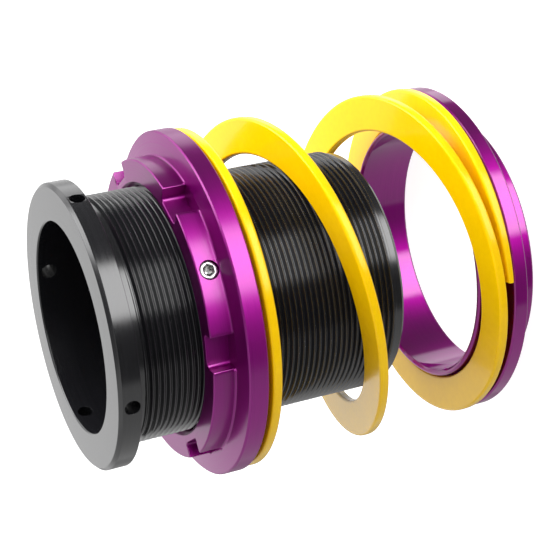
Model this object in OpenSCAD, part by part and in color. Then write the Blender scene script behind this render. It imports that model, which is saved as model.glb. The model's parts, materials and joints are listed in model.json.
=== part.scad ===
// Height-adjustable coilover sleeve: a threaded sleeve with a lock-screwed
// adjuster ring, a flat-wire helper spring and a coupler ring for the main
// spring. The part stands on the coupler's rear pilot, flange up.

/* [Threaded sleeve] */
// Length of the sleeve from the flange face to its far end
sleeve_len = 80.2; // [76:0.1:90]
// Bore that slides over the damper body
sleeve_bore_d = 55.4; // [50:0.1:58]
// Chamfer on both ends of the sleeve's bore
sleeve_bore_chamfer = 0.3; // [0.1:0.1:1]
// Diameter of the flange at the top
flange_d = 75; // [72:0.5:82]
// Thickness of the flange
flange_t = 5.7; // [5:0.1:8]
// Chamfer round the flange's outer face
flange_chamfer = 0.9; // [0.3:0.1:1.5]
// Small break on the flange's inner edge
edge_break = 0.3; // [0.1:0.1:0.5]
// Major diameter of the outside thread
thread_d = 65; // [63:0.5:66]
// Pitch of the outside thread
thread_pitch = 1.5; // [1:0.25:2]
// Length of the plain neck between the flange and the thread
neck_len = 3.9; // [2:0.1:6]
// Length of the plain land at the sleeve's far end
land_len = 3.4; // [2:0.1:6]
// Chamfer on the far end of the sleeve
sleeve_end_chamfer = 0.9; // [0.2:0.1:1]

/* [Pin spanner holes] */
// Number of radial holes in the flange
spanner_hole_count = 4; // [2:1:8]
// Diameter of each radial hole
spanner_hole_d = 4; // [3:0.1:4.5]
// Distance of the holes from the flange's face
spanner_hole_depth = 3.3; // [3:0.1:3.3]
// Turn of the first hole from +X, in degrees
spanner_hole_angle = 45; // [0:5:90]

/* [Adjuster ring] */
// Distance from the flange's face down to the adjuster ring
adjuster_drop = 23.3; // [12:0.1:26]
// Diameter of the notched collar
collar_d = 79.4; // [77:0.2:82]
// Length of the notched collar
collar_len = 6; // [5:0.1:9]
// Fillet at the root of the collar
collar_fillet = 0.6; // [0.3:0.1:0.8]
// Height of the shallow cone between the collar and the rim
cone_rise = 0.8; // [0.3:0.1:2]
// Diameter of the adjuster's rim, the upper spring seat
adjuster_rim_d = 91.8; // [90:0.1:96]
// Thickness of the rim
adjuster_rim_t = 5.25; // [4:0.05:8]
// Chamfer round the rim
rim_chamfer = 0.4; // [0.2:0.1:0.8]
// Chamfer where the adjuster's thread starts
adjuster_bore_chamfer = 1.2; // [0.5:0.1:1.2]
// Number of hook spanner notches
notch_count = 6; // [4:1:8]
// Width of a notch
notch_w = 9; // [6:0.5:10]
// Depth of a notch below the collar's surface
notch_depth = 4.2; // [3:0.1:4.5]
// Fillet between the floor and the walls of a notch
notch_fillet = 1; // [0.3:0.1:2]

/* [Lock screw] */
// Major diameter of the lock screw's thread
screw_d = 5; // [4:0.5:5]
// Length of the lock screw
screw_len = 5; // [4:0.1:5]
// Recess of the screw's outer end below the collar
screw_recess = 0.35; // [0.1:0.05:0.5]
// Hexagon size of the socket, across flats
socket_af = 2.5; // [2:0.5:2.5]
// Depth of the socket
socket_depth = 2.5; // [2:0.1:3]
// Chamfer on both ends of the screw
screw_chamfer = 0.35; // [0.2:0.05:0.5]
// Gap between the pad and the thread it locks on
pad_gap = 0.1; // [0.05:0.05:0.2]

/* [Helper spring] */
// Height of the unloaded spring between its two seats
spring_free_h = 69.35; // [56:0.05:90]
// Inside diameter of the spring
spring_id = 71.2; // [70.8:0.1:72]
// Width of the flat wire, across the spring
wire_w = 9.8; // [7:0.1:10]
// Thickness of the flat wire, along the spring
wire_t = 2.6; // [2:0.1:3]
// Corner cut of the wire's section
wire_corner = 0.6; // [0.3:0.1:0.8]
// Number of turns from end to end
spring_turns = 3.5; // [3:0.25:5]
// Turns that lie on the coupler ring
closed_turns_low = 1.0; // [0.9:0.05:1.1]
// Turns that lie on the adjuster ring
closed_turns_high = 0.775; // [0.7:0.025:0.95]
// Rise in one turn of the wire that lies on the coupler ring
closed_lead_low = 1.26; // [1:0.02:1.6]
// Rise in one turn of the wire that lies on the adjuster ring
closed_lead_high = 2.1; // [1:0.1:3]
// Turn from +X of the wire's lower tip, in degrees
tip_angle = -26; // [-180:1:180]
// Thickness of the wire at its tapered tips
tip_t = 1.6; // [1.2:0.1:2]

/* [Coupler ring] */
// Bore that passes over the sleeve's thread
coupler_bore_d = 67; // [66.6:0.1:67.4]
// Chamfer on both ends of the coupler's bore
coupler_bore_chamfer = 0.6; // [0.2:0.1:1]
// Diameter of the coupler's rim, the lower spring seat
coupler_rim_d = 90; // [88:0.1:96]
// Thickness of the coupler's rim
coupler_rim_t = 4.1; // [3:0.1:8]
// Diameter of the rear pilot inside the main spring
rear_pilot_d = 73; // [71:0.5:76]
// Length of the rear pilot
rear_pilot_len = 7.2; // [5:0.1:12]
// Chamfer at the free end of the rear pilot
rear_pilot_chamfer = 0.6; // [0.3:0.1:1.2]

/* [Spring pilots] */
// Radial gap between the helper spring and the two rings' pilots
pilot_gap = 0.5; // [0.3:0.05:0.8]
// Length of the adjuster's pilot
adjuster_pilot_len = 4.4; // [2:0.1:5]
// Length of the coupler's pilot
coupler_pilot_len = 4.8; // [2:0.1:5]
// Chamfer at the free ends of both pilots
pilot_chamfer = 0.5; // [0.2:0.1:0.7]

/* [Hidden] */
$fn = 96;
eps = 0.01;

// radial clearance of the parts that turn or slide in one another
fit_gap = 0.05;
// clearance between the wire and each of its two seats
seat_gap = 0.1;

// heights above the ground
coupler_seat_z = rear_pilot_len + coupler_rim_t;
adjuster_seat_z = coupler_seat_z + spring_free_h;
rim_top_z = adjuster_seat_z + adjuster_rim_t;
collar_foot_z = rim_top_z + cone_rise;
collar_top_z = collar_foot_z + collar_len;
top_z = collar_top_z + adjuster_drop;

// threaded sleeve
bore_r = sleeve_bore_d / 2;
flange_r = flange_d / 2;
thread_r = thread_d / 2;
thread_depth = 0.6134 * thread_pitch;
thread_crest = thread_pitch / 8;
thread_flank = thread_depth * tan(30);
neck_r = thread_r - thread_depth;
flange_low_z = top_z - flange_t;
thread_top_z = flange_low_z - neck_len;
sleeve_low_z = top_z - sleeve_len;
thread_low_z = sleeve_low_z + land_len;
thread_turns = floor((thread_top_z - thread_low_z - thread_crest) / thread_pitch) + 1;

// adjuster ring
collar_r = collar_d / 2;
adjuster_rim_r = adjuster_rim_d / 2;
adjuster_bore_r = thread_r + fit_gap;
spring_in_r = spring_id / 2;
pilot_r = spring_in_r - pilot_gap;
adjuster_low_z = adjuster_seat_z - adjuster_pilot_len;
notch_floor_r = collar_r - notch_depth;

// lock screw and pad, along +X
screw_z = collar_foot_z + collar_len * 0.45;
screw_hole_r = screw_d / 2;
screw_r = screw_hole_r - fit_gap;
screw_out_x = collar_r - screw_recess;
screw_in_x = screw_out_x - screw_len;
pad_in_x = thread_r + pad_gap;
pad_out_x = screw_in_x - fit_gap;

// helper spring, measured in turns from its lower tip
ring_count = 36;
taper_turns = 0.08;
ramp_low = 0.125;
ramp_high = 0.167;
wire_mid_r = spring_in_r + wire_w / 2;
first_z = coupler_seat_z + seat_gap + wire_t / 2;
closed_top = spring_turns - closed_turns_high;
total_rise = spring_free_h - wire_t - 2 * seat_gap;
closed_rise = closed_lead_low * closed_turns_low + closed_lead_high * closed_turns_high;
active_lead = (total_rise - closed_rise) / (closed_top - closed_turns_low);

// A ramp that leaves zero smoothly between -w and w and then rises one to one
function ramp(x, w) = x < -w ? 0 : x > w ? x : (x + w) * (x + w) / (4 * w);

// Height of the middle of the wire after t turns
function wire_z(t) = first_z + closed_lead_low * t
    + (active_lead - closed_lead_low) * ramp(t - closed_turns_low, ramp_low)
    - (active_lead - closed_lead_high) * ramp(t - closed_top, ramp_high);

// What the taper takes off the wire, at a distance of t turns from its tip
function taper(t) = (wire_t - tip_t) * max(0, 1 - t / taper_turns);

// Lower and upper face of the wire: each tip keeps the face that lies on its seat
function wire_low(t) = wire_z(t) - wire_t / 2 + taper(spring_turns - t);
function wire_high(t) = wire_z(t) + wire_t / 2 - taper(t);

// Corners of the wire's section after t turns, as [radius, height]
function section(t) = let (
        lo = wire_low(t),
        hi = wire_high(t),
        c = min(wire_corner, (hi - lo) / 3),
        r0 = spring_in_r,
        r1 = spring_in_r + wire_w
    ) [[r0, lo + c], [r0 + c, lo], [r1 - c, lo], [r1, lo + c],
       [r1, hi - c], [r1 - c, hi], [r0 + c, hi], [r0, hi - c]];

// Outline of the thread from its lower end up, as [radius, height] corners. Each
// turn is a closed ridge of the true 60 degree form, without the small helix angle.
function thread_profile() = [for (i = [0 : thread_turns - 1])
    let (z = thread_low_z + i * thread_pitch)
    each [[neck_r, z - thread_flank], [thread_r, z],
          [thread_r, z + thread_crest], [neck_r, z + thread_crest + thread_flank]]];

module hole_along_x(r, x0, x1, z) {
    translate([x0, 0, z])
        rotate([0, 90, 0])
            cylinder(r = r, h = x1 - x0);
}

// A turned ring: the profile lists [radius, height] corners
module turned(profile) {
    rotate_extrude($fn = 180)
        polygon(profile);
}

module threaded_sleeve() {
    color("#1c1c1f")
        difference() {
            turned(concat(
                [[bore_r, sleeve_low_z + sleeve_bore_chamfer],
                 [bore_r + sleeve_bore_chamfer, sleeve_low_z],
                 [neck_r - sleeve_end_chamfer, sleeve_low_z],
                 [neck_r, sleeve_low_z + sleeve_end_chamfer]],
                thread_profile(),
                [[neck_r, flange_low_z],
                 [flange_r - edge_break, flange_low_z],
                 [flange_r, flange_low_z + edge_break],
                 [flange_r, top_z - flange_chamfer],
                 [flange_r - flange_chamfer, top_z],
                 [bore_r + sleeve_bore_chamfer, top_z],
                 [bore_r, top_z - sleeve_bore_chamfer]]
            ));
            for (i = [0 : spanner_hole_count - 1])
                rotate(spanner_hole_angle + i * 360 / spanner_hole_count)
                    hole_along_x(spanner_hole_d / 2, bore_r - 1, flange_r + 1, top_z - spanner_hole_depth);
        }
}

// Floor plan of one spanner notch, opening along +X
module notch_plan() {
    half = notch_w / 2;
    out_x = collar_r + eps;
    translate([notch_floor_r + notch_fillet, -half])
        square([out_x - notch_floor_r - notch_fillet, notch_w]);
    translate([notch_floor_r, notch_fillet - half])
        square([notch_fillet + eps, notch_w - 2 * notch_fillet]);
    for (y = [-1, 1] * (half - notch_fillet))
        translate([notch_floor_r + notch_fillet, y])
            circle(r = notch_fillet);
}

module adjuster_ring() {
    color("#96118f")
        difference() {
            turned(concat(
                [[adjuster_bore_r, adjuster_low_z + pilot_chamfer],
                 [adjuster_bore_r + pilot_chamfer, adjuster_low_z],
                 [pilot_r - pilot_chamfer, adjuster_low_z],
                 [pilot_r, adjuster_low_z + pilot_chamfer],
                 [pilot_r, adjuster_seat_z],
                 [adjuster_rim_r - rim_chamfer, adjuster_seat_z],
                 [adjuster_rim_r, adjuster_seat_z + rim_chamfer],
                 [adjuster_rim_r, rim_top_z - rim_chamfer],
                 [adjuster_rim_r - rim_chamfer, rim_top_z],
                 [collar_r + collar_fillet, collar_foot_z]],
                [for (a = [75 : -15 : 0])
                    [collar_r + collar_fillet * (1 - cos(a)), collar_foot_z + collar_fillet * (1 - sin(a))]],
                [[collar_r, collar_top_z - edge_break],
                 [collar_r - edge_break, collar_top_z],
                 [adjuster_bore_r + adjuster_bore_chamfer, collar_top_z],
                 [adjuster_bore_r, collar_top_z - adjuster_bore_chamfer]]
            ));
            for (i = [0 : notch_count - 1])
                rotate((i + 0.5) * 360 / notch_count)
                    translate([0, 0, collar_foot_z])
                        linear_extrude(collar_len + 1)
                            notch_plan();
            hole_along_x(screw_hole_r, adjuster_bore_r - 1, collar_r + 1, screw_z);
        }
}

module set_screw() {
    color("#b9bcc0")
        translate([screw_in_x, 0, screw_z])
            rotate([0, 90, 0])
                difference() {
                    rotate_extrude()
                        polygon([
                            [0, 0],
                            [screw_r - screw_chamfer, 0],
                            [screw_r, screw_chamfer],
                            [screw_r, screw_len - screw_chamfer],
                            [screw_r - screw_chamfer, screw_len],
                            [0, screw_len]
                        ]);
                    translate([0, 0, screw_len - socket_depth])
                        cylinder(d = socket_af / cos(30), h = socket_depth + eps, $fn = 6);
                }
}

module lock_pad() {
    color("#c8a24a")
        hole_along_x(screw_r, pad_in_x, pad_out_x, screw_z);
}

module helper_spring() {
    steps = ceil(spring_turns * ring_count);
    corners = len(section(0));
    points = [for (i = [0 : steps])
        let (t = spring_turns * i / steps, a = tip_angle + 360 * t)
        for (p = section(t)) [p[0] * cos(a), p[0] * sin(a), p[1]]];
    walls = [for (i = [0 : steps - 1], k = [0 : corners - 1])
        let (k2 = (k + 1) % corners, a = i * corners, b = a + corners)
        each [[a + k, b + k, a + k2], [a + k2, b + k, b + k2]]];
    low_cap = [for (k = [1 : corners - 2]) [0, k, k + 1]];
    high_cap = [for (k = [1 : corners - 2])
        [steps * corners, steps * corners + k + 1, steps * corners + k]];
    color("#f7d417")
        polyhedron(points = points, faces = concat(walls, low_cap, high_cap), convexity = 8);
    least_gap = min([for (i = [0 : floor((spring_turns - 1) * ring_count)])
        wire_low(1 + i / ring_count) - wire_high(i / ring_count)]);
    echo(str("helper spring: least gap of the wire to itself is ", least_gap, " mm"));
}

module coupler_ring() {
    coupler_bore_r = coupler_bore_d / 2;
    coupler_rim_r = coupler_rim_d / 2;
    rear_r = rear_pilot_d / 2;
    high_z = coupler_seat_z + coupler_pilot_len;
    color("#96118f")
        turned([
            [coupler_bore_r, coupler_bore_chamfer],
            [coupler_bore_r + coupler_bore_chamfer, 0],
            [rear_r - rear_pilot_chamfer, 0],
            [rear_r, rear_pilot_chamfer],
            [rear_r, rear_pilot_len],
            [coupler_rim_r - rim_chamfer, rear_pilot_len],
            [coupler_rim_r, rear_pilot_len + rim_chamfer],
            [coupler_rim_r, coupler_seat_z - rim_chamfer],
            [coupler_rim_r - rim_chamfer, coupler_seat_z],
            [pilot_r, coupler_seat_z],
            [pilot_r, high_z - pilot_chamfer],
            [pilot_r - pilot_chamfer, high_z],
            [coupler_bore_r + coupler_bore_chamfer, high_z],
            [coupler_bore_r, high_z - coupler_bore_chamfer]
        ]);
}

coupler_ring();
helper_spring();
adjuster_ring();
lock_pad();
set_screw();
threaded_sleeve();
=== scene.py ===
"""Looks of a height-adjustable coilover sleeve.

A black threaded sleeve carries a purple adjuster ring with its lock screw. A yellow
flat-wire helper spring joins the adjuster to the purple coupler ring that it stands on.
"""

import json
import math

import bmesh
import bpy
from mathutils import Matrix, Vector


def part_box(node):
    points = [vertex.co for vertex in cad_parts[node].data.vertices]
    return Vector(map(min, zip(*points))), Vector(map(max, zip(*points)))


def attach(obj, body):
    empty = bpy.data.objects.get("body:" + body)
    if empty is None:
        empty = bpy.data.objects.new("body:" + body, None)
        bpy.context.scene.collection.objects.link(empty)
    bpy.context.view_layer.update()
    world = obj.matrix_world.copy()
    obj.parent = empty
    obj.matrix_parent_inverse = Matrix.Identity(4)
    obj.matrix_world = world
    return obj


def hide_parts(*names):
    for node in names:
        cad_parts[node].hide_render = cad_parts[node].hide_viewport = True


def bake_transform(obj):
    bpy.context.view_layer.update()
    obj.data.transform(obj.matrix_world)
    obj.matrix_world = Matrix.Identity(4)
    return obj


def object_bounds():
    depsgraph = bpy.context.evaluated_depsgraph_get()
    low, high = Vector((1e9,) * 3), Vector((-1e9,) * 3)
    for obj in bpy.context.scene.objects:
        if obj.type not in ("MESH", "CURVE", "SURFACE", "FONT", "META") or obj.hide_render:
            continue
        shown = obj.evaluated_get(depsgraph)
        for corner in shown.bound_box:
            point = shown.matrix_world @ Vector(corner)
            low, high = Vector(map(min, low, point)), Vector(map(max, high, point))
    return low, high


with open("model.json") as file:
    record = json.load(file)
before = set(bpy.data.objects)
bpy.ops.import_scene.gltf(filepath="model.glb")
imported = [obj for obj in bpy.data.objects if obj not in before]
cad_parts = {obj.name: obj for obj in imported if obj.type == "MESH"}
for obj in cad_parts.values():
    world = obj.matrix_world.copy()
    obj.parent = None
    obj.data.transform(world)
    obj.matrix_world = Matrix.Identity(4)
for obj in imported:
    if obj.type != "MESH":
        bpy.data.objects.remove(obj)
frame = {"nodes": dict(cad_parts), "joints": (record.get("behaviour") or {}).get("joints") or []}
CAD_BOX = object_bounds()

MM = 0.001

# Camera, round the middle of what it looks at
CAMERA_TARGET = (0.081 * MM, 0.492 * MM, 56.763 * MM)
CAMERA_DISTANCE = 430.631 * MM
CAMERA_AZIMUTH = -9.401
CAMERA_ELEVATION = 21.570
CAMERA_ROLL = -102.341
CAMERA_LENS = 102.903
CAMERA_SENSOR = 36.0

# Metric thread form: the slope of its flanks, its depth and crest as shares of the pitch,
# how much of the crest is broken, and the points of its rounded root as shares of the root
FLANK_SLOPE = math.tan(math.radians(30))
THREAD_DEPTH_SHARE = 0.6134
CREST_SHARE = 1 / 8
CREST_BREAK_SHARE = 0.6
ROOT_ROUND_RISE = 0.35
ROOT_ROUND_START = 0.1
ROOT_ROUND_END = 0.25

# Threaded sleeve
BORE_R = 27.7 * MM
BORE_CHAMFER = 0.3 * MM
FLANGE_THICKNESS = 5.7 * MM
FLANGE_CHAMFER = 0.9 * MM
NECK_LENGTH = 3.9 * MM
LAND_LENGTH = 3.4 * MM
SLEEVE_END_CHAMFER = 0.9 * MM
THREAD_R = 32.5 * MM
THREAD_PITCH = 1.5 * MM
THREAD_DEPTH = THREAD_DEPTH_SHARE * THREAD_PITCH
SPANNER_HOLE_COUNT = 4
SPANNER_HOLE_R = 2.0 * MM
SPANNER_HOLE_DEPTH = 3.3 * MM
SPANNER_HOLE_ANGLE = 45.0

# Adjuster ring
ADJUSTER_BORE_R = 32.55 * MM
ADJUSTER_BORE_CHAMFER = 1.2 * MM
COLLAR_R = 39.7 * MM
COLLAR_LENGTH = 6.0 * MM
COLLAR_FILLET = 0.6 * MM
COLLAR_CHAMFER = 0.3 * MM
CONE_RISE = 0.8 * MM
RIM_THICKNESS = 5.25 * MM
RIM_CHAMFER = 0.4 * MM
PILOT_R = 35.1 * MM
PILOT_CHAMFER = 0.5 * MM
NOTCH_COUNT = 6
NOTCH_WIDTH = 9.0 * MM
NOTCH_DEPTH = 4.2 * MM
NOTCH_FILLET = 1.0 * MM
NOTCH_CHAMFER = 0.25 * MM
NOTCH_FILLET_STEPS = 6
NOTCH_FLARE_SLOPE = math.tan(math.radians(30))

# Lock screw
SCREW_HOLE_R = 2.5 * MM
SCREW_R = 2.45 * MM
SCREW_PITCH = 0.8 * MM
SCREW_CHAMFER = 0.35 * MM
SOCKET_FLATS = 2.5 * MM
SOCKET_DEPTH = 2.5 * MM
SOCKET_BREAK = 0.1 * MM
SOCKET_POINT = 0.5 * MM
SCREW_STEPS = 48

# Helper spring, with turns counted from its lower tip
SPRING_INNER_R = 35.6 * MM
SPRING_TURNS = 3.5
WIRE_WIDTH = 9.8 * MM
WIRE_THICKNESS = 2.6 * MM
WIRE_TIP_THICKNESS = 1.6 * MM
WIRE_EDGE_R = 0.75 * MM
WIRE_EDGE_BREAK = 0.25 * MM
WIRE_TAPER_TURNS = 0.08
CLOSED_TURNS_LOW = 1.0
CLOSED_TURNS_HIGH = 0.775
CLOSED_LEAD_LOW = 1.26 * MM
CLOSED_LEAD_HIGH = 2.1 * MM
RAMP_LOW = 0.125
RAMP_HIGH = 0.167
WIRE_TIP_ANGLE = -26.0
COIL_STEPS = 120

# Coupler ring
COUPLER_BORE_R = 33.5 * MM
COUPLER_BORE_CHAMFER = 0.6 * MM
COUPLER_RIM_THICKNESS = 4.1 * MM
REAR_PILOT_R = 36.5 * MM
REAR_PILOT_LENGTH = 7.2 * MM
REAR_PILOT_CHAMFER = 0.6 * MM

# Finish of the turned parts
EDGE_BREAK = 0.12 * MM
RING_EDGE_BREAK = 0.1 * MM
EDGE_ANGLE = 50.0
RING_STEPS = 180
SLEEVE_STEPS = 144

# Working tools: how far cutters run past what they cut, and how near points are the same
CUTTER_OVERRUN = 2 * MM
SCREW_HOLE_OVERRUN = 1 * MM
DRILL_STEPS = 48
WALL_TOLERANCE = 0.01 * MM
WELD_DISTANCE = 0.001 * MM
SLIVER_LENGTH = 0.0001 * MM

# Panels that the metal mirrors: azimuth, half width, lowest and highest elevation in
# degrees, brightness. Their edges fade over these angles either side
STUDIO_LEVEL = 0.95
STUDIO_PANELS = [
    (119.0, 12.0, -60.0, 30.0, 2.0),
    (71.0, 36.0, -70.0, 40.0, 0.20),
    (-37.0, 26.0, -70.0, 40.0, 0.12),
    (10.5, 22.0, -42.0, 10.0, 7.0),
    (170.0, 25.0, 5.0, 40.0, 1.35),
    (-110.0, 45.0, -70.0, 40.0, 0.72),
    (-168.0, 18.0, -60.0, -2.0, 0.40),
    (98.0, 40.0, 36.0, 60.0, 5.5),
    (0.0, 185.0, 64.0, 95.0, 0.3),
]
PANEL_FADE_SIDEWAYS = 4.0
PANEL_FADE_UPWARDS = 5.0

# Light for matt surfaces: the even world, and lamps by name, azimuth, elevation,
# distance, size, watts
WORLD_LEVEL = 0.45
LAMPS = [
    ("key", 86.0, 32.0, 0.36, 0.30, 2.3),
    ("fill", 28.0, 12.0, 0.70, 0.50, 3.2),
    ("bounce", -60.0, -10.0, 0.70, 0.50, 1.8),
    ("back", 200.0, 50.0, 0.70, 0.50, 0.8),
]

# Floor under the part
FLOOR_HALF_WIDTH = 2.0
FLOOR_GAP = 0.05 * MM
FLOOR_GREY = 0.55
FLOOR_ROUGHNESS = 0.9
FLOOR_GLOW = 0.9


# ---------------------------------------------------------------- node trees


def math_node(tree, operation, *values):
    """The result of a Math node on these values."""
    node = tree.nodes.new("ShaderNodeMath")
    node.operation = operation
    for socket, value in zip(node.inputs, values):
        put(tree, value, socket)
    return Value(tree, node.outputs[0])


class Value:
    """A number in a node tree that Python's operators and these methods reach."""

    def __init__(self, tree, socket):
        self.tree = tree
        self.socket = socket

    def calc(self, operation, *others):
        return math_node(self.tree, operation, self, *others)

    def __add__(self, other):
        return self.calc("ADD", other)

    __radd__ = __add__

    def __mul__(self, other):
        return self.calc("MULTIPLY", other)

    __rmul__ = __mul__

    def __sub__(self, other):
        return self.calc("SUBTRACT", other)

    def __rsub__(self, other):
        return math_node(self.tree, "SUBTRACT", other, self)

    def __truediv__(self, other):
        return self.calc("DIVIDE", other)

    def least(self, other):
        return self.calc("MINIMUM", other)

    def most(self, other):
        return self.calc("MAXIMUM", other)

    def within(self, low, high):
        return self.most(low).least(high)


def put(tree, value, socket):
    """Links a value to a socket, or sets the socket to a plain number."""
    if isinstance(value, Value):
        value = value.socket
    if isinstance(value, bpy.types.NodeSocket):
        tree.links.new(value, socket)
    else:
        socket.default_value = value


def add(tree, kind, inputs=None, out=0, **settings):
    """A new node with those settings and inputs; returns one of its outputs."""
    node = tree.nodes.new(kind)
    for name, value in settings.items():
        setattr(node, name, value)
    for name, value in (inputs or {}).items():
        put(tree, value, node.inputs[name])
    return Value(tree, node.outputs[out])


def tree_inputs(tree, sockets):
    """Gives a group its named inputs and returns them as values."""
    for name, kind in sockets.items():
        tree.interface.new_socket(name, in_out="INPUT", socket_type=kind)
    node = tree.nodes.new("NodeGroupInput")
    return {name: Value(tree, node.outputs[name]) for name in sockets}


def tree_outputs(tree, sockets):
    """Gives a group its named outputs: name to (socket kind, value)."""
    for name, (kind, _) in sockets.items():
        tree.interface.new_socket(name, in_out="OUTPUT", socket_type=kind)
    node = tree.nodes.new("NodeGroupOutput")
    for name, (_, value) in sockets.items():
        put(tree, value, node.inputs[name])


def geometry_tree(name, sockets):
    """A Geometry Nodes tree with named inputs."""
    tree = bpy.data.node_groups.new(name, "GeometryNodeTree")
    return tree, tree_inputs(tree, sockets)


def end_geometry(tree, geometry, material):
    """Ends a Geometry Nodes tree in Realize Instances and Set Material."""
    real = add(tree, "GeometryNodeRealizeInstances", {"Geometry": geometry})
    painted = add(tree, "GeometryNodeSetMaterial", {"Geometry": real, "Material": material})
    tree_outputs(tree, {"Geometry": ("NodeSocketGeometry", painted)})


def grown(name, tree, values):
    """A plain mesh object made by a Geometry Nodes tree with these input values."""
    item = bpy.data.objects.new(name, bpy.data.meshes.new(name))
    bpy.context.scene.collection.objects.link(item)
    modifier = item.modifiers.new(tree.name, "NODES")
    modifier.node_group = tree
    for socket in tree.interface.items_tree:
        if socket.in_out == "INPUT":
            modifier[socket.identifier] = values[socket.name]
    return settled(item)


def settled(item):
    """Turns an object's modifiers into its plain mesh and removes them."""
    graph = bpy.context.evaluated_depsgraph_get()
    mesh = bpy.data.meshes.new_from_object(item.evaluated_get(graph))
    item.modifiers.clear()
    item.data = mesh
    mesh.name = item.name
    return item


# ---------------------------------------------------------------- materials


def lathe_marks_group():
    """Fine rings left by the turning tool, round the part's axis: a height and a mask."""
    tree = bpy.data.node_groups.new("lathe_marks", "ShaderNodeTree")
    given = tree_inputs(tree, {
        "Position": "NodeSocketVector",
        "Marks per metre": "NodeSocketFloat",
        "Drift per metre": "NodeSocketFloat",
    })
    apart = tree.nodes.new("ShaderNodeSeparateXYZ")
    put(tree, given["Position"], apart.inputs[0])
    x, y, z = (Value(tree, output) for output in apart.outputs)
    radius = (x * x + y * y).calc("SQRT")
    marks = given["Marks per metre"]
    place = add(tree, "ShaderNodeCombineXYZ", {
        "X": radius * marks,
        "Y": z * marks,
        "Z": (x + y) * given["Drift per metre"],
    })
    noise = add(tree, "ShaderNodeTexNoise", {"Vector": place, "Scale": 1.0, "Detail": 3.0})
    mask = add(tree, "ShaderNodeMapRange", {
        "Value": noise, "From Min": 0.35, "From Max": 0.65,
    })
    tree_outputs(tree, {
        "Height": ("NodeSocketFloat", noise),
        "Mask": ("NodeSocketFloat", mask),
    })
    return tree


def grain_group():
    """Cloudy fine grain of a dyed or sprayed surface: a height and a mask."""
    tree = bpy.data.node_groups.new("surface_grain", "ShaderNodeTree")
    given = tree_inputs(tree, {
        "Position": "NodeSocketVector",
        "Grains per metre": "NodeSocketFloat",
        "Clouds per metre": "NodeSocketFloat",
    })
    fine = add(tree, "ShaderNodeTexNoise", {
        "Vector": given["Position"], "Scale": given["Grains per metre"], "Detail": 2.0,
    })
    broad = add(tree, "ShaderNodeTexNoise", {
        "Vector": given["Position"], "Scale": given["Clouds per metre"], "Detail": 3.0,
    })
    mask = add(tree, "ShaderNodeMapRange", {
        "Value": fine * 0.5 + broad * 0.5, "From Min": 0.38, "From Max": 0.62,
    })
    tree_outputs(tree, {
        "Height": ("NodeSocketFloat", fine),
        "Mask": ("NodeSocketFloat", mask),
    })
    return tree


def use_group(tree, group, values):
    """A placed shader group with its position taken from the object."""
    place = add(tree, "ShaderNodeTexCoord", out=3)
    node = tree.nodes.new("ShaderNodeGroup")
    node.node_tree = group
    put(tree, place, node.inputs["Position"])
    for name, value in values.items():
        node.inputs[name].default_value = value
    return Value(tree, node.outputs["Height"]), Value(tree, node.outputs["Mask"])


def material(name, dark, light, roughness, spread, group, scales, relief, **plain):
    """A procedural material. The group's mask mixes the two colours and moves the
    roughness by the spread, and its height gives a relief of that depth in metres."""
    made = bpy.data.materials.new(name)
    made.use_nodes = True
    tree = made.node_tree
    shader = tree.nodes["Principled BSDF"]
    height, mask = use_group(tree, group, scales)
    colour = add(tree, "ShaderNodeMix", data_type="RGBA", out=2)
    mix = colour.socket.node
    put(tree, mask, mix.inputs[0])
    mix.inputs[6].default_value = (*dark, 1.0)
    mix.inputs[7].default_value = (*light, 1.0)
    put(tree, colour, shader.inputs["Base Color"])
    put(tree, mask * spread + (roughness - spread / 2), shader.inputs["Roughness"])
    bump = add(tree, "ShaderNodeBump", {"Strength": 1.0, "Distance": relief, "Height": height})
    put(tree, bump, shader.inputs["Normal"])
    for setting, value in plain.items():
        label = setting.replace("_", " ").title().replace("Ior", "IOR")
        shader.inputs[label].default_value = value
    return made


def make_materials():
    """Every finish of the object, by the name of its slot in the record."""
    marks = lathe_marks_group()
    grain = grain_group()
    fine_turning = {"Marks per metre": 9000.0, "Drift per metre": 40.0}
    return {
        "black_anodised": material(
            "black_anodised", (0.0045, 0.0045, 0.0055), (0.009, 0.009, 0.0105), 0.18, 0.06,
            marks, fine_turning, 0.0030 * MM, ior=1.65,
        ),
        "purple_anodised": material(
            "purple_anodised", (0.235, 0.0020, 0.180), (0.280, 0.0040, 0.215), 0.47, 0.08,
            marks, fine_turning, 0.0020 * MM, metallic=1.0,
            specular_tint=(0.60, 0.10, 0.55, 1.0),
            coat_weight=0.75, coat_roughness=0.20, coat_ior=1.5,
        ),
        "purple_polished": material(
            "purple_polished", (0.235, 0.0020, 0.180), (0.270, 0.0030, 0.205), 0.44, 0.05,
            marks, fine_turning, 0.0010 * MM, metallic=1.0,
            specular_tint=(0.60, 0.10, 0.55, 1.0),
            coat_weight=0.9, coat_roughness=0.05, coat_ior=1.5,
        ),
        "yellow_powder_coat": material(
            "yellow_powder_coat", (0.95, 0.57, 0.0), (0.99, 0.61, 0.0), 0.20, 0.05,
            grain, {"Grains per metre": 700.0, "Clouds per metre": 90.0}, 0.008 * MM,
            specular_ior_level=0.4, specular_tint=(1.0, 0.9, 0.5, 1.0),
            coat_weight=0.12, coat_roughness=0.05,
        ),
        "screw_steel": material(
            "screw_steel", (0.30, 0.30, 0.30), (0.46, 0.46, 0.45), 0.28, 0.12,
            grain, {"Grains per metre": 4000.0, "Clouds per metre": 600.0}, 0.004 * MM,
            metallic=1.0,
        ),
        "pad_brass": material(
            "pad_brass", (0.62, 0.42, 0.15), (0.74, 0.54, 0.24), 0.34, 0.12,
            grain, {"Grains per metre": 4000.0, "Clouds per metre": 600.0}, 0.004 * MM,
            metallic=1.0,
        ),
    }


# ---------------------------------------------------------------- pieces


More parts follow.
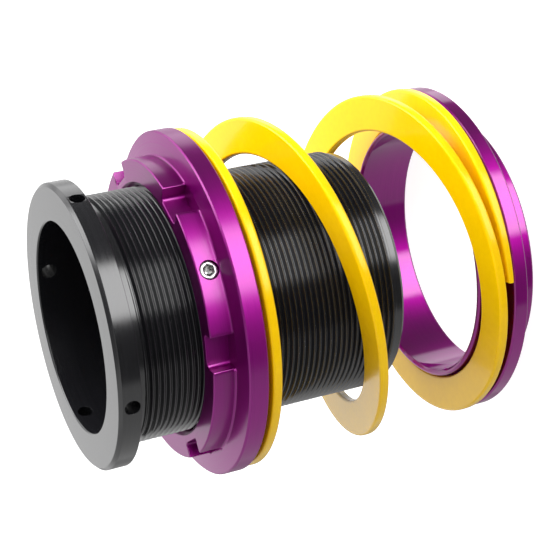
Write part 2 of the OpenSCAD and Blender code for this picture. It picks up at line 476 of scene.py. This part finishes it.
def rounded(outline, size):
    """An outline with each corner replaced by a small arc of two chords."""
    count = len(outline)
    points = []
    for i, corner in enumerate(outline):
        here = Vector(corner)
        before = Vector(outline[i - 1]) - here
        after = Vector(outline[(i + 1) % count]) - here
        reach = min(size, 0.4 * before.length, 0.4 * after.length)
        start = here + before.normalized() * reach
        end = here + after.normalized() * reach
        middle = (start + end) / 4 + here / 2
        points += [start, middle, end]
    return points


def revolved(outline, steps, closed=True):
    """A mesh turned from an outline of (radius, height) points round the Z axis."""
    build = bmesh.new()
    rings = []
    for k in range(steps):
        angle = 2 * math.pi * k / steps
        rings.append([
            build.verts.new((r * math.cos(angle), r * math.sin(angle), z)) for r, z in outline
        ])
    count = len(outline)
    for k in range(steps):
        ring, following = rings[k], rings[(k + 1) % steps]
        for i in range(count if closed else count - 1):
            j = (i + 1) % count
            build.faces.new((ring[i], following[i], following[j], ring[j]))
    return build


def piece(name, build, paint):
    """A smooth-shaded object from a mesh under construction."""
    for face in build.faces:
        face.smooth = True
    mesh = bpy.data.meshes.new(name)
    build.to_mesh(mesh)
    build.free()
    mesh.materials.append(paint)
    item = bpy.data.objects.new(name, mesh)
    bpy.context.scene.collection.objects.link(item)
    return item


def outward(build):
    """Turns every face of a closed mesh to face out."""
    bmesh.ops.recalc_face_normals(build, faces=build.faces)


def cutter_ring_tree():
    """Copies a cutter round the Z axis, facing outwards."""
    tree, given = geometry_tree("cutters_in_a_ring", {
        "Cutter": "NodeSocketObject",
        "Count": "NodeSocketInt",
        "First angle": "NodeSocketFloat",
        "Material": "NodeSocketMaterial",
    })
    places = add(tree, "GeometryNodePoints", {"Count": given["Count"]})
    index = add(tree, "GeometryNodeInputIndex")
    turn = given["First angle"] + index * (2 * math.pi) / given["Count"]
    rotation = add(tree, "ShaderNodeCombineXYZ", {"Z": turn})
    cutter = add(tree, "GeometryNodeObjectInfo", {"Object": given["Cutter"]}, out=4)
    copies = add(tree, "GeometryNodeInstanceOnPoints", {
        "Points": places, "Instance": cutter, "Rotation": rotation,
    })
    end_geometry(tree, copies, given["Material"])
    return tree


def cut_round(item, cutter, tree, count, first_angle):
    """Cuts copies of a cutter round the piece."""
    cutters = grown("cutters", tree, {
        "Cutter": cutter,
        "Count": count,
        "First angle": math.radians(first_angle),
        "Material": item.data.materials[0],
    })
    modifier = item.modifiers.new("cut", "BOOLEAN")
    modifier.operation = "DIFFERENCE"
    modifier.object = cutters
    modifier.solver = "EXACT"
    settled(item)
    bpy.data.objects.remove(cutters)
    bpy.data.objects.remove(cutter)


def broken_edges(item, width):
    """Takes the sharp edges off."""
    bevel = item.modifiers.new("edges", "BEVEL")
    bevel.limit_method = "ANGLE"
    bevel.angle_limit = math.radians(EDGE_ANGLE)
    bevel.width = width
    bevel.segments = 2
    return settled(item)


def even_shading(item):
    """Lets the large faces set the shading, as on a machined part."""
    item.data.shade_smooth()
    normals = item.modifiers.new("shading", "WEIGHTED_NORMAL")
    normals.keep_sharp = True
    normals.weight = 100
    return settled(item)


def thread_tree():
    """A helical thread: a grid of one section repeated turn by turn, kept inside the
    chamfered envelope between the thread's two ends."""
    tree, given = geometry_tree("cut_thread", {
        "Section": "NodeSocketObject",
        "Section points": "NodeSocketInt",
        "Turns": "NodeSocketInt",
        "Steps": "NodeSocketInt",
        "Pitch": "NodeSocketFloat",
        "Depth": "NodeSocketFloat",
        "Root radius": "NodeSocketFloat",
        "Low end": "NodeSocketFloat",
        "High end": "NodeSocketFloat",
        "Material": "NodeSocketMaterial",
    })
    rings = given["Turns"] * given["Steps"] + 1
    columns = given["Section points"]
    grid = add(tree, "GeometryNodeMeshGrid", {
        "Size X": 1.0, "Size Y": 1.0, "Vertices X": rings, "Vertices Y": columns,
    })
    along, across = grid_place(tree)
    column = ((across + 0.5) * (columns - 1)).calc("ROUND")
    radius, rise = section_point(tree, given["Section"], column)
    turn = (along + 0.5) * given["Turns"] - 1
    low, high = given["Low end"], given["High end"]
    height = (low + given["Pitch"] * turn + rise).within(low, high)
    root = given["Root radius"]
    envelope = root + (height - low).least(high - height).within(0.0, given["Depth"])
    surface = (root + radius).least(envelope)
    moved = on_cylinder(tree, grid, turn * (2 * math.pi), surface, height)
    welded = add(tree, "GeometryNodeMergeByDistance", {
        "Geometry": moved, "Distance": WELD_DISTANCE,
    })
    end_geometry(tree, welded, given["Material"])
    return tree


def grid_place(tree):
    """Where a vertex lies on a grid of unit size, from -0.5 to 0.5 both ways."""
    apart = tree.nodes.new("ShaderNodeSeparateXYZ")
    put(tree, add(tree, "GeometryNodeInputPosition"), apart.inputs[0])
    return Value(tree, apart.outputs[0]), Value(tree, apart.outputs[1])


def section_point(tree, section, index):
    """The X and Y of a section object's point with that index."""
    mesh = add(tree, "GeometryNodeObjectInfo", {"Object": section}, out=4)
    sample = tree.nodes.new("GeometryNodeSampleIndex")
    sample.data_type = "FLOAT_VECTOR"
    put(tree, mesh, sample.inputs["Geometry"])
    put(tree, add(tree, "GeometryNodeInputPosition"), sample.inputs["Value"])
    put(tree, index, sample.inputs["Index"])
    apart = tree.nodes.new("ShaderNodeSeparateXYZ")
    tree.links.new(sample.outputs[0], apart.inputs[0])
    return Value(tree, apart.outputs[0]), Value(tree, apart.outputs[1])


def on_cylinder(tree, geometry, angle, radius, height):
    """Moves a geometry's points to cylinder coordinates round the Z axis."""
    place = add(tree, "ShaderNodeCombineXYZ", {
        "X": radius * angle.calc("COSINE"),
        "Y": radius * angle.calc("SINE"),
        "Z": height,
    })
    return add(tree, "GeometryNodeSetPosition", {"Geometry": geometry, "Position": place})


def section_object(points):
    """A hidden object whose points are a section, as (X, Y)."""
    mesh = bpy.data.meshes.new("section")
    mesh.from_pydata([(x, y, 0.0) for x, y in points], [], [])
    item = bpy.data.objects.new("section", mesh)
    bpy.context.scene.collection.objects.link(item)
    return item


def thread_section(pitch, depth):
    """One pitch of a 60 degree thread from crest to crest, as (height above the root,
    rise), with broken crest edges and a rounded root."""
    crest = pitch * CREST_SHARE
    edge = CREST_BREAK_SHARE * crest
    flank = depth * FLANK_SLOPE
    root = pitch - crest - 2 * flank
    half = [
        (depth, crest / 2 - (1 - FLANK_SLOPE) * edge),
        (depth - edge, crest / 2 + FLANK_SLOPE * edge),
        (root * ROOT_ROUND_RISE, crest / 2 + flank - root * ROOT_ROUND_START),
        (0.0, crest / 2 + flank + root * ROOT_ROUND_END),
    ]
    return [(depth, 0.0)] + half + [(r, pitch - z) for r, z in reversed(half)] + [(depth, pitch)]


def thread(name, tree, root_r, pitch, depth, low, high, steps, paint):
    """The threaded surface between two heights, open at both ends."""
    points = thread_section(pitch, depth)
    section = section_object(points)
    item = grown(name, tree, {
        "Section": section,
        "Section points": len(points),
        "Turns": math.ceil((high - low) / pitch) + 1,
        "Steps": steps,
        "Pitch": pitch,
        "Depth": depth,
        "Root radius": root_r,
        "Low end": low,
        "High end": high,
        "Material": paint,
    })
    bpy.data.objects.remove(section)
    return item


def welded(name, items, paint):
    """One closed piece from open pieces that share their end rings."""
    build = bmesh.new()
    for item in items:
        build.from_mesh(item.data)
        bpy.data.objects.remove(item)
    bmesh.ops.remove_doubles(build, verts=build.verts, dist=WELD_DISTANCE)
    bmesh.ops.dissolve_degenerate(build, edges=build.edges, dist=SLIVER_LENGTH)
    outward(build)
    return piece(name, build, paint)


def drill(radius, start, end, height, paint):
    """A round cutter along +X between two distances from the axis."""
    outline = [(0.0, start), (radius, start), (radius, end), (0.0, end)]
    build = revolved(outline, DRILL_STEPS, closed=False)
    bmesh.ops.remove_doubles(build, verts=build.verts, dist=WELD_DISTANCE)
    bmesh.ops.transform(
        build, verts=build.verts,
        matrix=Matrix.Translation((0, 0, height)) @ Matrix.Rotation(math.pi / 2, 4, "Y"),
    )
    outward(build)
    return piece("drill", build, paint)


def make_sleeve(paint, threads, cutters):
    """The sleeve: a flange with spanner holes, a neck, the thread and a plain land."""
    low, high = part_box("threaded_sleeve")
    root_r = THREAD_R - THREAD_DEPTH
    flange_low = high.z - FLANGE_THICKNESS
    thread_high = flange_low - NECK_LENGTH + THREAD_DEPTH
    thread_low = low.z + LAND_LENGTH - THREAD_DEPTH
    c, b = FLANGE_CHAMFER, BORE_CHAMFER
    outline = rounded([
        (root_r, thread_high),
        (root_r, flange_low),
        (high.x, flange_low),
        (high.x, high.z - c),
        (high.x - c, high.z),
        (BORE_R + b, high.z),
        (BORE_R, high.z - b),
        (BORE_R, low.z + b),
        (BORE_R + b, low.z),
        (root_r - SLEEVE_END_CHAMFER, low.z),
        (root_r, low.z + SLEEVE_END_CHAMFER),
        (root_r, thread_low),
    ], EDGE_BREAK)
    # The two ends of the thread stay sharp, so that the spiral can be joined on there
    outline = [Vector((root_r, thread_high)), *outline[3:-3], Vector((root_r, thread_low))]
    build = revolved(outline, SLEEVE_STEPS)
    outward(build)
    body = piece("sleeve_body", build, paint)
    hole = drill(
        SPANNER_HOLE_R, BORE_R - CUTTER_OVERRUN, high.x + CUTTER_OVERRUN,
        high.z - SPANNER_HOLE_DEPTH, paint,
    )
    cut_round(body, hole, cutters, SPANNER_HOLE_COUNT, SPANNER_HOLE_ANGLE)
    broken_edges(body, EDGE_BREAK)
    open_thread_side(body, root_r, thread_low, thread_high)
    spiral = thread(
        "thread", threads, root_r, THREAD_PITCH, THREAD_DEPTH, thread_low, thread_high,
        SLEEVE_STEPS, paint,
    )
    return even_shading(welded("threaded_sleeve_finish", [body, spiral], paint))


def open_thread_side(item, radius, low, high):
    """Takes away the plain wall that the thread stands in for."""
    build = bmesh.new()
    build.from_mesh(item.data)
    inside = [
        face for face in build.faces
        if all(
            abs(math.hypot(v.co.x, v.co.y) - radius) < WALL_TOLERANCE
            and low - WALL_TOLERANCE < v.co.z < high + WALL_TOLERANCE
            for v in face.verts
        )
    ]
    bmesh.ops.delete(build, geom=inside, context="FACES_ONLY")
    build.to_mesh(item.data)
    build.free()


def notch_cutter(foot, face, paint):
    """The tool for one spanner notch: flat floor, filleted corners, and a flare that
    breaks the edges where it leaves the collar's side and its end face."""
    floor, half, r, e = COLLAR_R - NOTCH_DEPTH, NOTCH_WIDTH / 2, NOTCH_FILLET, NOTCH_CHAMFER
    corner = [
        (floor + r * (1 - math.cos(a)), half - r * (1 - math.sin(a)))
        for a in (
            math.pi / 2 * k / NOTCH_FILLET_STEPS for k in range(NOTCH_FILLET_STEPS + 1)
        )
    ]
    mouth = COLLAR_R * math.cos(half / COLLAR_R) - e * NOTCH_FLARE_SLOPE
    past = CUTTER_OVERRUN
    corner += [(mouth, half), (mouth + past * NOTCH_FLARE_SLOPE, half + past)]
    section = [(x, -y) for x, y in reversed(corner)] + corner
    flared = [
        (x - past, y + math.copysign(past, y)) if x < mouth else (x, y) for x, y in section
    ]
    build = bmesh.new()
    rings = [
        [build.verts.new((x, y, z)) for x, y in points]
        for points, z in ((section, foot), (section, face - e), (flared, face - e + past))
    ]
    build.faces.new(rings[0])
    build.faces.new(rings[2])
    for low, high in zip(rings, rings[1:]):
        for i in range(len(section)):
            build.faces.new((low[i - 1], low[i], high[i], high[i - 1]))
    outward(build)
    return piece("notch", build, paint)


def make_adjuster(paint, cutters):
    """The adjuster: a pilot inside the spring, a rim to seat it and a notched collar."""
    low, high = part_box("adjuster_ring")
    foot = high.z - COLLAR_LENGTH
    rim_top = foot - CONE_RISE
    seat = rim_top - RIM_THICKNESS
    f, c, p, e = COLLAR_FILLET, RIM_CHAMFER, PILOT_CHAMFER, COLLAR_CHAMFER
    fillet = [
        (COLLAR_R + f * (1 - math.cos(a)), foot + f * (1 - math.sin(a)))
        for a in (math.radians(75 - 15 * k) for k in range(6))
    ]
    outline = rounded([
        (ADJUSTER_BORE_R, low.z + p),
        (ADJUSTER_BORE_R + p, low.z),
        (PILOT_R - p, low.z),
        (PILOT_R, low.z + p),
        (PILOT_R, seat),
        (high.x - c, seat),
        (high.x, seat + c),
        (high.x, rim_top - c),
        (high.x - c, rim_top),
        (COLLAR_R + f, foot),
        *fillet,
        (COLLAR_R, high.z - e),
        (COLLAR_R - e, high.z),
        (ADJUSTER_BORE_R + ADJUSTER_BORE_CHAMFER, high.z),
        (ADJUSTER_BORE_R, high.z - ADJUSTER_BORE_CHAMFER),
    ], RING_EDGE_BREAK)
    build = revolved(outline, RING_STEPS)
    outward(build)
    ring = piece("adjuster_ring_finish", build, paint)
    notch = notch_cutter(foot, high.z, paint)
    cut_round(ring, notch, cutters, NOTCH_COUNT, 180 / NOTCH_COUNT)
    screw_low, screw_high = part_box("set_screw")
    hole = drill(
        SCREW_HOLE_R, ADJUSTER_BORE_R - SCREW_HOLE_OVERRUN, COLLAR_R + SCREW_HOLE_OVERRUN,
        (screw_low.z + screw_high.z) / 2, paint,
    )
    cut_round(ring, hole, cutters, 1, 0.0)
    return even_shading(broken_edges(ring, RING_EDGE_BREAK))


def make_coupler(paint):
    """The coupler: a rim between the helper spring's pilot and the main spring's pilot."""
    low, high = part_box("coupler_ring")
    seat = REAR_PILOT_LENGTH + COUPLER_RIM_THICKNESS
    b, c, p, r = COUPLER_BORE_CHAMFER, RIM_CHAMFER, PILOT_CHAMFER, REAR_PILOT_CHAMFER
    build = revolved(rounded([
        (COUPLER_BORE_R, low.z + b),
        (COUPLER_BORE_R + b, low.z),
        (REAR_PILOT_R - r, low.z),
        (REAR_PILOT_R, low.z + r),
        (REAR_PILOT_R, low.z + REAR_PILOT_LENGTH),
        (high.x - c, low.z + REAR_PILOT_LENGTH),
        (high.x, low.z + REAR_PILOT_LENGTH + c),
        (high.x, low.z + seat - c),
        (high.x - c, low.z + seat),
        (PILOT_R, low.z + seat),
        (PILOT_R, high.z - p),
        (PILOT_R - p, high.z),
        (COUPLER_BORE_R + b, high.z),
        (COUPLER_BORE_R, high.z - b),
    ], RING_EDGE_BREAK), RING_STEPS)
    outward(build)
    return even_shading(piece("coupler_ring_finish", build, paint))


def make_screw(paint, threads):
    """The lock screw: a threaded stud with a hexagon socket in its outer end."""
    low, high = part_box("set_screw")
    length = high.x - low.x
    depth = THREAD_DEPTH_SHARE * SCREW_PITCH
    root_r, c = SCREW_R - depth, SCREW_CHAMFER
    thread_low, thread_high = c / 2, length - 2 * c
    socket = SOCKET_FLATS / 2
    build = revolved([
        (root_r, thread_low),
        (root_r - c, 0.0),
        (0.0, 0.0),
    ], SCREW_STEPS, closed=False)
    outer = revolved([
        (root_r, thread_high),
        (SCREW_R, thread_high + depth * FLANK_SLOPE),
        (SCREW_R, length - c),
        (SCREW_R - c, length),
        (socket + SOCKET_BREAK, length),
        (socket, length - SOCKET_BREAK),
        (socket, length - SOCKET_DEPTH),
        (0.0, length - SOCKET_DEPTH - SOCKET_POINT),
    ], SCREW_STEPS, closed=False)
    # The socket's round walls are pushed out to a hexagon
    for vertex in outer.verts:
        x, y = vertex.co.x, vertex.co.y
        if 0 < math.hypot(x, y) < socket + SOCKET_BREAK + WALL_TOLERANCE:
            turn = (math.atan2(y, x) + math.pi / 6) % (math.pi / 3) - math.pi / 6
            stretch = 1 / math.cos(turn)
            vertex.co.x, vertex.co.y = x * stretch, y * stretch
    parts = [piece("inner_end", build, paint), piece("outer_end", outer, paint)]
    parts.append(thread(
        "screw_thread", threads, root_r, SCREW_PITCH, depth, thread_low, thread_high,
        SCREW_STEPS, paint,
    ))
    screw = welded("set_screw_finish", parts, paint)
    middle = (low + high) / 2
    screw.data.transform(
        Matrix.Translation((low.x, middle.y, middle.z)) @ Matrix.Rotation(math.pi / 2, 4, "Y")
    )
    return even_shading(screw)


def wire_section():
    """The flat wire's cross-section: distance from its inner side, height from its middle."""
    r, half = WIRE_EDGE_R, WIRE_THICKNESS / 2
    centres = [
        (r, r - half, 180), (WIRE_WIDTH - r, r - half, 270),
        (WIRE_WIDTH - r, half - r, 0), (r, half - r, 90),
    ]
    return [
        (x + r * math.cos(math.radians(start + turn)), y + r * math.sin(math.radians(start + turn)))
        for x, y, start in centres for turn in (0, 22.5, 45, 67.5, 90)
    ]


def eased(x, half):
    """Leaves zero smoothly between -half and half, then rises one to one."""
    bend = x.within(half * -1.0, half) + half
    return bend * bend / (half * 4.0) + (x - half).most(0.0)


def wound_wire_tree():
    """A spring of flat wire: close turns at both ends, wide ones between, ground tips. It
    stores how far each point moves with the upper seat when the spring is pressed."""
    tree, given = geometry_tree("wound_wire", {
        "Section": "NodeSocketObject",
        "Section points": "NodeSocketInt",
        "Turns": "NodeSocketFloat",
        "Steps": "NodeSocketInt",
        "Inner radius": "NodeSocketFloat",
        "First height": "NodeSocketFloat",
        "Thickness": "NodeSocketFloat",
        "Tip loss": "NodeSocketFloat",
        "Taper turns": "NodeSocketFloat",
        "Tip angle": "NodeSocketFloat",
        "Low turns": "NodeSocketFloat",
        "High turns": "NodeSocketFloat",
        "Low lead": "NodeSocketFloat",
        "High lead": "NodeSocketFloat",
        "Active lead": "NodeSocketFloat",
        "Low ramp": "NodeSocketFloat",
        "High ramp": "NodeSocketFloat",
        "Pressed lead": "NodeSocketFloat",
        "Travel": "NodeSocketFloat",
        "Material": "NodeSocketMaterial",
    })
    points, turns, thickness = given["Section points"], given["Turns"], given["Thickness"]
    grid = add(tree, "GeometryNodeMeshGrid", {
        "Size X": 1.0, "Size Y": 1.0,
        "Vertices X": turns * given["Steps"] + 1, "Vertices Y": points + 1,
    })
    along, across = grid_place(tree)
    turn = (along + 0.5) * turns
    column = ((across + 0.5) * points).calc("ROUND").calc("MODULO", points)
    side, rise = section_point(tree, given["Section"], column)

    low, active, high = given["Low lead"], given["Active lead"], given["High lead"]
    climb = low * turn
    climb = climb + (active - low) * eased(turn - given["Low turns"], given["Low ramp"])
    opened = turns - given["High turns"]
    climb = climb - (active - high) * eased(turn - opened, given["High ramp"])

    def taper(distance):
        return given["Tip loss"] * (1.0 - distance / given["Taper turns"]).most(0.0)

    bottom = climb - thickness / 2 + taper(turns - turn)
    top = climb + thickness / 2 - taper(turn)
    height = given["First height"] + bottom + (top - bottom) * (rise / thickness + 0.5)
    closing = ((climb - given["Pressed lead"] * turn) / given["Travel"]).within(0.0, 1.0)
    stored = add(tree, "GeometryNodeStoreNamedAttribute", {
        "Geometry": grid, "Name": "closing", "Value": closing,
    }, data_type="FLOAT", domain="POINT")
    angle = given["Tip angle"] + turn * (2 * math.pi)
    wire = on_cylinder(tree, stored, angle, given["Inner radius"] + side, height)
    closed = add(tree, "GeometryNodeMergeByDistance", {
        "Geometry": wire, "Distance": WELD_DISTANCE,
    })
    end_geometry(tree, closed, given["Material"])
    return tree


def make_spring(paint, joint):
    """The helper spring, with each point's share of the compression in "closing"."""
    low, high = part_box("helper_spring")
    rise = high.z - low.z - WIRE_THICKNESS
    travel = joint["range_m"][1] - joint["range_m"][0]
    closed_rise = CLOSED_LEAD_LOW * CLOSED_TURNS_LOW + CLOSED_LEAD_HIGH * CLOSED_TURNS_HIGH
    active_turns = SPRING_TURNS - CLOSED_TURNS_LOW - CLOSED_TURNS_HIGH
    section = section_object(wire_section())
    spring = grown("helper_spring_finish", wound_wire_tree(), {
        "Section": section,
        "Section points": len(section.data.vertices),
        "Turns": SPRING_TURNS,
        "Steps": COIL_STEPS,
        "Inner radius": SPRING_INNER_R,
        "First height": low.z + WIRE_THICKNESS / 2,
        "Thickness": WIRE_THICKNESS,
        "Tip loss": WIRE_THICKNESS - WIRE_TIP_THICKNESS,
        "Taper turns": WIRE_TAPER_TURNS,
        "Tip angle": math.radians(WIRE_TIP_ANGLE),
        "Low turns": CLOSED_TURNS_LOW,
        "High turns": CLOSED_TURNS_HIGH,
        "Low lead": CLOSED_LEAD_LOW,
        "High lead": CLOSED_LEAD_HIGH,
        "Active lead": (rise - closed_rise) / active_turns,
        "Low ramp": RAMP_LOW,
        "High ramp": RAMP_HIGH,
        "Pressed lead": (rise - travel) / SPRING_TURNS,
        "Travel": travel,
        "Material": paint,
    })
    bpy.data.objects.remove(section)
    build = bmesh.new()
    build.from_mesh(spring.data)
    open_edges = [edge for edge in build.edges if edge.is_boundary]
    bmesh.ops.holes_fill(build, edges=open_edges, sides=0)
    outward(build)
    build.to_mesh(spring.data)
    build.free()
    return even_shading(broken_edges(spring, WIRE_EDGE_BREAK))


def press_between(spring):
    """Drops the spring's closing attribute and bakes its placement into its mesh."""
    closing = spring.data.attributes["closing"]
    spring.data.attributes.remove(closing)
    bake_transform(spring)


# ---------------------------------------------------------------- camera and studio


def make_camera():
    """The camera, turned about its own line of sight so that the part lies on its side."""
    azimuth, elevation = math.radians(CAMERA_AZIMUTH), math.radians(CAMERA_ELEVATION)
    back = Vector((
        math.cos(elevation) * math.cos(azimuth),
        math.cos(elevation) * math.sin(azimuth),
        math.sin(elevation),
    ))
    turned = back.to_track_quat("Z", "Y").to_matrix().to_4x4()
    camera = bpy.data.objects.new("camera", bpy.data.cameras.new("camera"))
    camera.data.lens = CAMERA_LENS
    camera.data.sensor_width = CAMERA_SENSOR
    camera.matrix_world = (
        Matrix.Translation(Vector(CAMERA_TARGET) + back * CAMERA_DISTANCE)
        @ turned @ Matrix.Rotation(math.radians(CAMERA_ROLL), 4, "Z")
    )
    bpy.context.scene.collection.objects.link(camera)
    bpy.context.scene.camera = camera


def make_world():
    """White to the camera, even for matt surfaces, and softly edged panels for gloss."""
    world = bpy.data.worlds.new("studio")
    bpy.context.scene.world = world
    world.use_nodes = True
    world.cycles.sampling_method = "NONE"
    tree = world.node_tree
    apart = tree.nodes.new("ShaderNodeSeparateXYZ")
    put(tree, add(tree, "ShaderNodeTexCoord"), apart.inputs[0])
    x, y, z = (Value(tree, output) for output in apart.outputs)
    azimuth = y.calc("ARCTAN2", x).calc("DEGREES")
    elevation = z.within(-1.0, 1.0).calc("ARCSINE").calc("DEGREES")
    mirrored = STUDIO_LEVEL
    for middle, half, low, high, strength in STUDIO_PANELS:
        off = (azimuth - middle).calc("WRAP", 180.0, -180.0).calc("ABSOLUTE")
        aside, up = PANEL_FADE_SIDEWAYS, PANEL_FADE_UPWARDS
        mask = soft_step(tree, off, half + aside, half - aside)
        mask = mask * soft_step(tree, elevation, low - up, low + up)
        mask = mask * soft_step(tree, elevation, high + up, high - up)
        mirrored = mask * (strength - mirrored) + mirrored
    ray = tree.nodes.new("ShaderNodeLightPath")
    seen = Value(tree, ray.outputs["Is Camera Ray"])
    gloss = Value(tree, ray.outputs["Is Glossy Ray"])
    level = gloss * (mirrored - WORLD_LEVEL) + WORLD_LEVEL
    level = seen * (1.0 - level) + level
    put(tree, level, tree.nodes["Background"].inputs["Strength"])
    tree.nodes["Background"].inputs["Color"].default_value = (1, 1, 1, 1)


def soft_step(tree, value, start, end):
    """From 0 at the start to 1 at the end, smoothly."""
    return add(tree, "ShaderNodeMapRange", {
        "Value": value, "From Min": start, "From Max": end,
    }, interpolation_type="SMOOTHSTEP")


def make_lamps():
    """Large soft lamps for the matt surfaces; the panels stand in for them in gloss."""
    middle = Vector((0, 0, (CAD_BOX[0][2] + CAD_BOX[1][2]) / 2))
    for name, azimuth, elevation, distance, size, watts in LAMPS:
        light = bpy.data.lights.new(name, "AREA")
        light.energy, light.size = watts, size
        lamp = bpy.data.objects.new(name, light)
        a, e = math.radians(azimuth), math.radians(elevation)
        back = Vector((math.cos(e) * math.cos(a), math.cos(e) * math.sin(a), math.sin(e)))
        lamp.matrix_world = (
            Matrix.Translation(middle + back * distance)
            @ back.to_track_quat("Z", "Y").to_matrix().to_4x4()
        )
        lamp.visible_glossy = False
        bpy.context.scene.collection.objects.link(lamp)


def make_floor():
    """A pale floor that keeps a faint shadow under the part."""
    build = bmesh.new()
    bmesh.ops.create_grid(build, x_segments=1, y_segments=1, size=FLOOR_HALF_WIDTH)
    bmesh.ops.translate(build, verts=build.verts, vec=(0, 0, CAD_BOX[0][2] - FLOOR_GAP))
    paint = bpy.data.materials.new("floor")
    paint.use_nodes = True
    tree = paint.node_tree
    shader = tree.nodes["Principled BSDF"]
    shader.inputs["Base Color"].default_value = (FLOOR_GREY, FLOOR_GREY, FLOOR_GREY, 1)
    shader.inputs["Roughness"].default_value = FLOOR_ROUGHNESS
    shader.inputs["Specular IOR Level"].default_value = 0.0
    ray = tree.nodes.new("ShaderNodeLightPath")
    shader.inputs["Emission Color"].default_value = (1, 1, 1, 1)
    glow = Value(tree, ray.outputs["Is Camera Ray"]) * FLOOR_GLOW
    put(tree, glow, shader.inputs["Emission Strength"])
    floor = piece("floor", build, paint)
    floor.visible_glossy = False


# ---------------------------------------------------------------- assembly


def dress():
    """Makes every finished piece and hangs the rigid ones on their bodies; the spring stays unhung
    and the lock pad gets the brass finish.
    """
    paints = make_materials()
    threads, cutters = thread_tree(), cutter_ring_tree()
    joint = next(j for j in frame["joints"] if j["name"] == "spring_compression")
    black, purple = paints["black_anodised"], paints["purple_anodised"]
    polished = paints["purple_polished"]
    yellow, steel = paints["yellow_powder_coat"], paints["screw_steel"]
    for item, node, body, slot in [
        (make_sleeve(black, threads, cutters), "threaded_sleeve", "sleeve", "black_anodised"),
        (make_adjuster(purple, cutters), "adjuster_ring", "adjuster", "purple_anodised"),
        (make_coupler(polished), "coupler_ring", "coupler", "purple_anodised"),
        (make_screw(steel, threads), "set_screw", "screw", "screw_steel"),
    ]:
        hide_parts(node)
        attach(item, body)
    spring = make_spring(yellow, joint)
    press_between(spring)
    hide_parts("helper_spring")
    for place in frame["nodes"]["lock_pad"].material_slots:
        place.material = paints["pad_brass"]


dress()
make_camera()
make_world()
make_lamps()
make_floor()
bpy.context.scene.view_settings.view_transform = "Standard"
